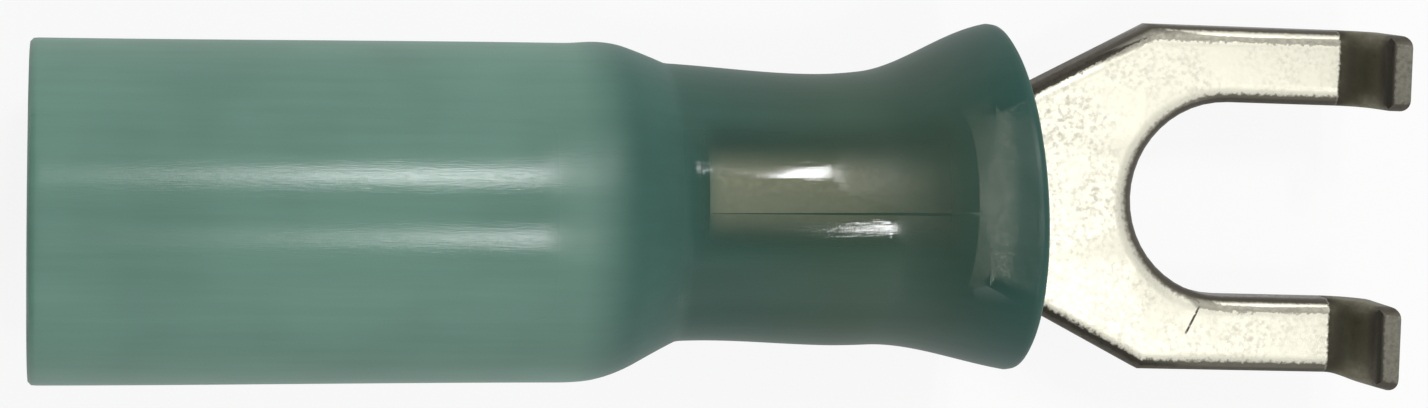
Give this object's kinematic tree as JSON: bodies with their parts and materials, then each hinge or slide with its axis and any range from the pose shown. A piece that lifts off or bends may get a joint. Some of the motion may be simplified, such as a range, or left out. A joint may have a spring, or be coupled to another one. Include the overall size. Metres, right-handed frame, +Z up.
{
  "type": "fork terminal",
  "caption": "Insulated fork terminal: a tinned copper stamping with upturned prong tips and a rolled wire barrel, inside a translucent teal heat-shrink sleeve with a flared front.",
  "frame": {"origin": "centre of the stud, which is the centre of the slot's round root, on the underside of the tongue that seats on the terminal block", "axes": "+X along the terminal from the wire end to the prong tips, +Z up through the slot to the side that the prong flanges turn to, +Y to the left"},
  "size_m": [0.0296, 0.0076, 0.0072],
  "materials": {
    "tinned_copper": "satin",
    "teal_heat_shrink": "satin"
  },
  "bodies": {
    "root": {"terminal_body": "tinned_copper", "insulating_sleeve": "teal_heat_shrink"}
  },
  "joints": []
}
